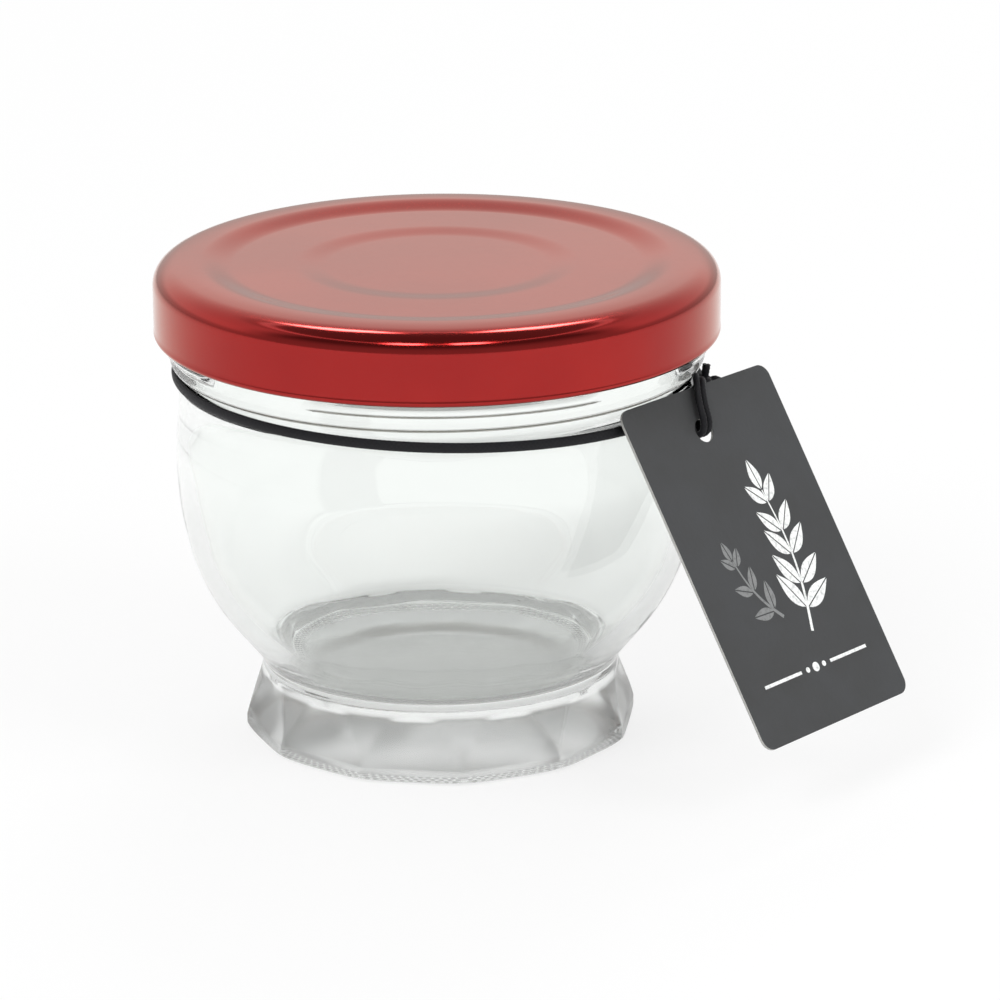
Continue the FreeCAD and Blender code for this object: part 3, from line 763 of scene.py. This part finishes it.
def braid_rule(material, radius, lay=4.2, sample=0.15):
    """A round braid laid along a path: yarns that pass over and under each other."""
    maker = Maker("round_braid", {
        "Cord Radius": radius,
        "Yarns Each Way": BRAID_YARNS,
        "Lay": lay,
        "Yarn Height": radius * 0.20,
    }, material)
    tree = maker.tree
    even = node_with(tree, "GeometryNodeResampleCurve", {"mode": "LENGTH"},
                     Curve=maker.start.outputs["Geometry"], Length=sample)
    along = tree.nodes.new("GeometryNodeSplineParameter")
    length = node_with(tree, "GeometryNodeStoreNamedAttribute",
                       {"data_type": "FLOAT", "domain": "POINT"},
                       Geometry=even.outputs[0], Name="along", Value=along.outputs["Length"])
    ring = node_with(tree, "GeometryNodeCurvePrimitiveCircle", Radius=maker.number("Cord Radius"))
    ring.inputs["Resolution"].default_value = BRAID_SIDES
    around = tree.nodes.new("GeometryNodeSplineParameter")
    turned = node_with(tree, "GeometryNodeStoreNamedAttribute",
                       {"data_type": "FLOAT", "domain": "POINT"},
                       Geometry=ring.outputs[0], Name="around", Value=around.outputs["Factor"])
    tube = node_with(tree, "GeometryNodeCurveToMesh", Curve=length.outputs[0],
                     Profile_Curve=turned.outputs[0])
    tube.inputs["Fill Caps"].default_value = True
    crown = weave(maker)
    # Crown height is kept for the painted highlight and painted shade in the cord's colour.
    kept = node_with(tree, "GeometryNodeStoreNamedAttribute",
                     {"data_type": "FLOAT", "domain": "POINT"},
                     Geometry=tube.outputs[0], Name="yarn_crown", Value=crown)
    normal = tree.nodes.new("GeometryNodeInputNormal")
    sunk = (crown - 1.0) * maker.number("Yarn Height")
    shift = node_with(tree, "ShaderNodeVectorMath", {"operation": "SCALE"}, Scale=sunk)
    tree.links.new(normal.outputs[0], shift.inputs[0])
    moved = node_with(tree, "GeometryNodeSetPosition", Geometry=kept.outputs[0],
                      Offset=shift.outputs[0])
    maker.finish(moved.outputs[0])
    return maker


def stored(maker, name):
    node = node_with(maker.tree, "GeometryNodeInputNamedAttribute", {"data_type": "FLOAT"})
    node.inputs["Name"].default_value = name
    return Field(maker.tree, node.outputs["Attribute"])


def weave(maker):
    """Height, 0 to 1, of a plain weave of yarns that wind both ways."""
    yarns = maker.number("Yarns Each Way")
    turn = stored(maker, "around") * yarns
    rise = stored(maker, "along") / maker.number("Lay") * yarns
    one = turn + rise
    other = turn - rise
    heights = []
    for mine, crossing, sign in ((one, other, 0.45), (other, one, -0.45)):
        number = mine.nearest()
        off = mine - number
        shape = (off * off * 3.6).remainder().step("MAXIMUM", 0.0).step("SQRT")
        over = ((number + crossing) * math.pi).step("COSINE") * sign + 0.55
        heights.append(shape * over)
    return heights[0].step("MAXIMUM", heights[1])


def neck_ring_points():
    """One turn round the neck from one side of the knot to the other."""
    radius = NECK_RADIUS + ELASTIC_CLEAR + ELASTIC_RADIUS
    points = []
    for i in range(361):
        angle = KNOT_AZIMUTH + KNOT_GAP + (2.0 * math.pi - 2.0 * KNOT_GAP) * i / 360.0
        x = radius * math.cos(angle)
        y = radius * math.sin(angle)
        points.append(Vector((x, y, CORD_LEVEL + CORD_SLOPE[0] * x + CORD_SLOPE[1] * y)))
    return points


def knot_frame():
    """Round the neck towards the front, outward and up, at the knot's middle."""
    out = Vector((math.cos(KNOT_AZIMUTH), math.sin(KNOT_AZIMUTH), 0.0))
    up = Vector((0.0, 0.0, 1.0))
    across = out.cross(up)
    middle = out * KNOT_MIDDLE + up * KNOT_LEVEL
    return across, out, up, middle


def knot_points():
    """A tied overhand turn pulled tight, with a free end up and one to the side."""
    across, out, up, middle = knot_frame()
    laid = list(KNOT_TAIL)
    turns = 26
    for i in range(turns + 1):
        t = 2.0 * math.pi * (0.08 + 0.84 * i / turns)
        laid.append((1.2 + 0.60 * (math.sin(t) + 2.0 * math.sin(2.0 * t)),
                     0.05 - 0.72 * math.sin(3.0 * t),
                     0.42 * (math.cos(t) - 2.0 * math.cos(2.0 * t)) + 0.35))
    laid += KNOT_END
    return [middle + across * a + out * b + up * c for a, b, c in laid]


def tag_frame():
    """Across, up and out of the card, and the middle of its top edge."""
    level = Vector((math.cos(TAG_TURN), math.sin(TAG_TURN), 0.0))
    rising = Vector((0.0, 0.0, 1.0))
    across = rising.cross(level)
    out = level * math.cos(TAG_LEAN) + rising * math.sin(TAG_LEAN)
    up = out.cross(across)
    radial, shift, height = TAG_TOP_BACK
    top = level * radial + across * shift + rising * height + out * (TAG_THICKNESS / 2.0)
    return across, up, out, top


def strand_points(side):
    """The route of one strand in the frame of the jar."""
    across, up, out, top = tag_frame()
    step = (2.0 * STRAND_RADIUS + STRAND_GAP) * side
    points = []
    for place, beside in STRAND_ROUTE:
        spot = place + beside.normalized() * step
        points.append(top + across * (TAG_HOLE_AT[0] + spot.x) + up * spot.y + out * spot.z)
    across_knot, out_knot, up_knot, middle = knot_frame()
    first = middle + up_knot * (0.4 * side)
    last = middle - up_knot * 0.3 + across_knot * (0.5 * side)
    return [first, *points, last]


def press_on(neck):
    """Flattens the stretched elastic against the glass."""
    inner = (NECK_RADIUS + ELASTIC_SEAT) * 0.001
    for vertex in neck.data.vertices:
        x, y, _ = vertex.co
        radius = math.hypot(x, y)
        flat = (inner + (radius - inner) * ELASTIC_FLAT) / radius
        vertex.co.x = x * flat
        vertex.co.y = y * flat


def make_cords():
    """The ring on the neck, its knot and the two strands that hold the tag."""
    black = braid_black()
    ring = braid_rule(black, ELASTIC_RADIUS)
    neck = ring.apply(path_object("neck_path", neck_ring_points(), False), "neck_elastic")
    press_on(neck)
    settle(neck, "neck_cord")
    thin = braid_rule(black, KNOT_RADIUS, lay=3.4, sample=0.12)
    knot = thin.apply(path_object("knot_path", knot_points()), "tied_knot")
    settle(knot, "tag_knot")
    for side, node in ((-0.5, "tag_strand_left"), (0.5, "tag_strand_right")):
        strand = braid_rule(black, STRAND_RADIUS, lay=3.6, sample=0.13)
        made = strand.apply(path_object("strand_path", strand_points(side)), node + "_braid")
        settle(made, node)


# ------------------------------------------------------------------------- tag

def rounded_outline(width, length, corner, steps):
    """The card's outline, its top edge on the X axis."""
    middles = ((width / 2 - corner, -corner, 0.0), (-width / 2 + corner, -corner, 90.0),
               (-width / 2 + corner, -length + corner, 180.0),
               (width / 2 - corner, -length + corner, 270.0))
    points = []
    for x, y, start in middles:
        for i in range(steps + 1):
            t = math.radians(start + 90.0 * i / steps)
            points.append((x + corner * math.cos(t), y + corner * math.sin(t)))
    return points


def flat_curve(name, outlines, half, edge):
    """A plate cut to closed outlines, its arrises eased."""
    curve = bpy.data.curves.new(name, "CURVE")
    curve.dimensions = "2D"
    curve.fill_mode = "BOTH"
    curve.extrude = half - edge
    curve.bevel_depth = edge
    curve.bevel_resolution = 1
    curve.offset = -edge
    for outline in outlines:
        spline = curve.splines.new("POLY")
        spline.points.add(len(outline) - 1)
        spline.use_cyclic_u = True
        for place, point in zip(spline.points, outline):
            place.co = (*point, 0.0, 1.0)
    plate = bpy.data.objects.new(name, curve)
    bpy.context.scene.collection.objects.link(plate)
    return plate


def plate_mesh(plate):
    """The plain mesh of a plate."""
    graph = bpy.context.evaluated_depsgraph_get()
    mesh = bpy.data.meshes.new_from_object(plate.evaluated_get(graph), depsgraph=graph)
    bpy.data.objects.remove(plate)
    return mesh


def tag_matrix():
    across, up, out, top = tag_frame()
    return TO_METRES @ Matrix((
        (across.x, up.x, out.x, top.x),
        (across.y, up.y, out.y, top.y),
        (across.z, up.z, out.z, top.z),
        (0.0, 0.0, 0.0, 1.0),
    ))


def leaf(root, angle, length, width):
    """Two halves of a leaf with its midrib left open."""
    halves = []
    for side in (-1.0, 1.0):
        outline = []
        for i in range(13):
            t = i / 12.0
            outline.append((t * length, side * (0.10 + width * math.sin(math.pi * t ** 0.8))))
        rib = [((1.0 - i / 4.0) * length * 0.94, side * 0.10) for i in range(5)]
        halves.append([turned_point(root, angle, p) for p in outline + rib])
    return halves


def turned_point(root, angle, point):
    c = math.cos(angle)
    s = math.sin(angle)
    return (root[0] + point[0] * c - point[1] * s, root[1] + point[0] * s + point[1] * c)


def stem(points, start_width, end_width):
    """A drawn line that narrows along its way."""
    left = []
    right = []
    last = len(points) - 1
    for i, (x, y) in enumerate(points):
        ahead = points[min(i + 1, last)]
        behind = points[max(i - 1, 0)]
        direction = Vector((ahead[0] - behind[0], ahead[1] - behind[1])).normalized()
        half = (start_width + (end_width - start_width) * i / last) / 2.0
        left.append((x - direction.y * half, y + direction.x * half))
        right.append((x + direction.y * half, y - direction.x * half))
    return left + right[::-1]


def sprig(root, angle, length, leaves, leaf_length, leaf_width, bow):
    """A bowed stem with leaves in pairs and one at its tip."""
    line = []
    for i in range(25):
        t = i / 24.0
        line.append(turned_point(root, angle, (t * length, bow * math.sin(math.pi * t))))
    shapes = [stem(line, 0.55, 0.22)]
    for k in range(leaves):
        t = 0.16 + 0.74 * k / max(1, leaves - 1)
        spot = line[round(t * 24)]
        heading = angle + bow / length * math.pi * math.cos(math.pi * t)
        size = leaf_length * (1.0 - 0.42 * t)
        for side in (-1.0, 1.0):
            start = turned_point(spot, heading + side * math.pi / 2.0, (0.3, 0.0))
            shapes += leaf(start, heading + side * math.radians(48.0 - 10.0 * t), size,
                           leaf_width * (1.0 - 0.3 * t))
    shapes += leaf(turned_point(line[-1], angle, (0.2, 0.0)),
                   angle - bow / length * math.pi, leaf_length * 0.66, leaf_width * 0.75)
    return shapes


def ring_of(x, y, radius, steps):
    """Points round a circle."""
    turns = [2.0 * math.pi * i / steps for i in range(steps)]
    return [(x + radius * math.cos(t), y + radius * math.sin(t)) for t in turns]


def printed(name, shapes, ink, lift):
    """Printed shapes as a thin film of ink on the card's face."""
    vertices = []
    faces = []
    for shape in shapes:
        first = len(vertices)
        count = len(shape)
        low = TAG_THICKNESS / 2.0 - INK_SUNK
        high = TAG_THICKNESS / 2.0 + lift
        vertices += [(x, y, low) for x, y in shape]
        vertices += [(x, y, high) for x, y in shape]
        faces.append(tuple(range(first + count - 1, first - 1, -1)))
        faces.append(tuple(range(first + count, first + 2 * count)))
        for i in range(count):
            j = (i + 1) % count
            faces.append((first + i, first + j, first + count + j, first + count + i))
    mesh = bpy.data.meshes.new(name)
    mesh.from_pydata(vertices, [], faces)
    outward(mesh)
    mesh.materials.append(ink)
    mesh.transform(tag_matrix())
    film = piece_of(mesh, name)
    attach(film, "root")


def make_tag():
    """The card, its pale cut edges and a sprig printed on its face."""
    outlines = [rounded_outline(TAG_WIDTH, TAG_LENGTH, TAG_CORNER, 10),
                ring_of(*TAG_HOLE_AT, TAG_HOLE_RADIUS, 48)]
    mesh = plate_mesh(flat_curve("tag_plate", outlines, TAG_THICKNESS / 2.0, CARD_EDGE))
    outward(mesh)
    mesh.materials.clear()
    mesh.materials.append(charcoal_card())
    mesh.materials.append(cut_board())
    for face in mesh.polygons:
        face.use_smooth = False
        face.material_index = int(abs(face.normal.z) < 0.3)
    mesh.transform(tag_matrix())
    card = piece_of(mesh, "tag_card")
    settle(card, "tag")
    white = printing_ink("white_ink", (0.55, 0.56, 0.56, 1.0), (0.86, 0.87, 0.86, 1.0))
    grey = printing_ink("grey_ink", (0.15, 0.155, 0.155, 1.0), (0.23, 0.235, 0.235, 1.0))
    tall = sprig((2.5, -39.5), math.radians(84.0), 22.0, 5, 7.2, 1.35, -1.6)
    printed("white_sprig", tall, white, 0.012)
    low = sprig((-2.0, -36.0), math.radians(118.0), 11.5, 3, 4.6, 0.9, 1.0)
    printed("grey_sprig", low, grey, 0.010)
    rule = [stem([(start, RULE_LEVEL), (end, RULE_LEVEL)], 0.5, 0.5)
            for start, end in ((-12.0, -3.4), (3.4, 12.0))]
    rule += [ring_of(x, RULE_LEVEL, r, 20) for x, r in ((-1.9, 0.42), (0.0, 0.72), (1.9, 0.42))]
    printed("printed_rule", rule, white, 0.012)


# ----------------------------------------------------------------------- studio

AMBIENT = 0.62
FLOOR_REACH = 12.0
FLOOR_DROP = 0.0002
CAMERA_PLACE = (0.0, -0.680, 0.25347)
CAMERA_LENS = 170.4


def make_floor():
    """A plain pale floor that keeps a soft shadow."""
    mesh = bpy.data.meshes.new("studio_floor")
    far = FLOOR_REACH
    mesh.from_pydata([(-far, -far, 0.0), (far, -far, 0.0), (far, far, 0.0), (-far, far, 0.0)],
                     [], [(0, 1, 2, 3)])
    material, tree, shader = new_material("pale_floor")
    shader.inputs["Base Color"].default_value = (0.80, 0.80, 0.80, 1.0)
    shader.inputs["Roughness"].default_value = 0.9
    shader.inputs["Specular IOR Level"].default_value = 0.0
    glow = node_with(tree, "ShaderNodeEmission", Strength=1.0)
    rays = tree.nodes.new("ShaderNodeLightPath")
    seen = Field(tree, rays.outputs["Is Camera Ray"])
    gloss = Field(tree, rays.outputs["Is Glossy Ray"])
    clear = Field(tree, rays.outputs["Is Transmission Ray"])
    glowing = (seen * 0.80).step("MAXIMUM", (gloss + clear) * 0.15)
    mix = node_with(tree, "ShaderNodeMixShader", Fac=glowing)
    tree.links.new(shader.outputs[0], mix.inputs[1])
    tree.links.new(glow.outputs[0], mix.inputs[2])
    tree.links.new(mix.outputs[0], tree.nodes["Material Output"].inputs["Surface"])
    mesh.materials.append(material)
    floor = piece_of(mesh, "studio_floor")
    floor.location.z = -FLOOR_DROP


def by_height(tree, height, stops):
    """A level that changes with height above the horizon, 0 level to 1 overhead."""
    ramp = tree.nodes.new("ShaderNodeValToRGB")
    while len(ramp.color_ramp.elements) < len(stops):
        ramp.color_ramp.elements.new(0.5)
    for element, (place, level) in zip(ramp.color_ramp.elements, stops):
        element.position = place
        element.color = (level, level, level, 1.0)
    feed(tree, ramp.inputs["Fac"], height)
    return Field(tree, ramp.outputs["Color"])


def blended(factor, low, high):
    """low where the factor is 0, high where it is 1; either may be a plain number."""
    return factor * high + factor.remainder() * low


def make_world():
    """White to the eye. Gloss shows a bright backdrop, a darker room and soft strips."""
    world = bpy.data.worlds.new("studio")
    bpy.context.scene.world = world
    world.use_nodes = True
    tree = world.node_tree
    where = tree.nodes.new("ShaderNodeTexCoord")
    split = node_with(tree, "ShaderNodeSeparateXYZ", Vector=where.outputs["Generated"])
    x, y, height = [Field(tree, split.outputs[axis]) for axis in "XYZ"]
    backdrop = by_height(tree, height, (
        (0.0, 0.55), (0.16, 0.70), (0.27, 1.0), (0.44, 1.0),
        (0.54, 0.94), (0.71, 0.88), (0.82, 0.30), (1.0, 0.20)))
    room = by_height(tree, height, ((0.0, 0.50), (0.32, 0.44), (0.60, 0.16), (1.0, 0.20)))
    shown = blended((y * -1.0).rise(-0.05, 0.35), backdrop, room)
    side = (x / (height * height).remainder().step("SQRT")).step("ABSOLUTE")
    strip = height.rise(0.775, 0.79) * height.rise(0.815, 0.83).remainder()
    boxes = height.rise(0.74, 0.78) * height.rise(0.84, 0.88).remainder()
    boxes = boxes * side.rise(0.10, 0.18) * side.rise(0.36, 0.52).remainder()
    shown = shown + strip + boxes * 12.0
    clear = by_height(tree, height, ((0.0, 0.92), (0.40, 0.92), (0.55, 0.55), (1.0, 0.42)))
    rays = tree.nodes.new("ShaderNodeLightPath")
    level = blended(Field(tree, rays.outputs["Is Glossy Ray"]), AMBIENT, shown)
    level = blended(Field(tree, rays.outputs["Is Transmission Ray"]), level, clear)
    level = blended(Field(tree, rays.outputs["Is Camera Ray"]), level, 1.0)
    background = tree.nodes["Background"]
    background.inputs["Color"].default_value = (1.0, 1.0, 1.0, 1.0)
    feed(tree, background.inputs["Strength"], level)


def make_lamp(name, place, aim, size, power):
    light = bpy.data.lights.new(name, "AREA")
    light.shape = "DISK"
    light.size = size
    light.energy = power
    lamp = bpy.data.objects.new(name, light)
    lamp.location = place
    lamp.rotation_euler = (Vector(aim) - Vector(place)).to_track_quat("-Z", "Y").to_euler()
    lamp.visible_glossy = False
    lamp.visible_transmission = False
    lamp.visible_camera = False
    bpy.context.scene.collection.objects.link(lamp)


def make_camera():
    """The camera looks a little down on the jar from the front."""
    yaw = 0.0135
    pitch = 0.3113
    roll = -0.0062
    ahead = Vector((math.sin(yaw) * math.cos(pitch), math.cos(yaw) * math.cos(pitch),
                    -math.sin(pitch)))
    level = Vector((math.cos(yaw), -math.sin(yaw), 0.0))
    above = level.cross(ahead)
    right = level * math.cos(roll) + above * math.sin(roll)
    up = above * math.cos(roll) - level * math.sin(roll)
    data = bpy.data.cameras.new("camera")
    data.lens = CAMERA_LENS
    data.sensor_width = 36.0
    data.clip_start = 0.01
    data.clip_end = 50.0
    camera = bpy.data.objects.new("camera", data)
    camera.matrix_world = Matrix((
        (right.x, up.x, -ahead.x, CAMERA_PLACE[0]),
        (right.y, up.y, -ahead.y, CAMERA_PLACE[1]),
        (right.z, up.z, -ahead.z, CAMERA_PLACE[2]),
        (0.0, 0.0, 0.0, 1.0),
    ))
    bpy.context.scene.collection.objects.link(camera)
    bpy.context.scene.camera = camera


def make_studio():
    make_floor()
    make_world()
    middle = (0.0, 0.0, 0.04)
    make_lamp("key_light", (-0.7, -0.9, 1.1), middle, 0.7, 12.0)
    make_lamp("fill_light", (0.9, -0.6, 0.8), middle, 0.7, 6.0)
    make_lamp("back_light", (0.2, 1.1, 1.0), middle, 0.7, 6.0)
    scene = bpy.context.scene
    scene.view_settings.view_transform = "Standard"
    scene.cycles.max_bounces = 32
    scene.cycles.glossy_bounces = 16
    scene.cycles.transmission_bounces = 32
    make_camera()


make_jar()
make_lid()
make_cords()
make_tag()
make_studio()
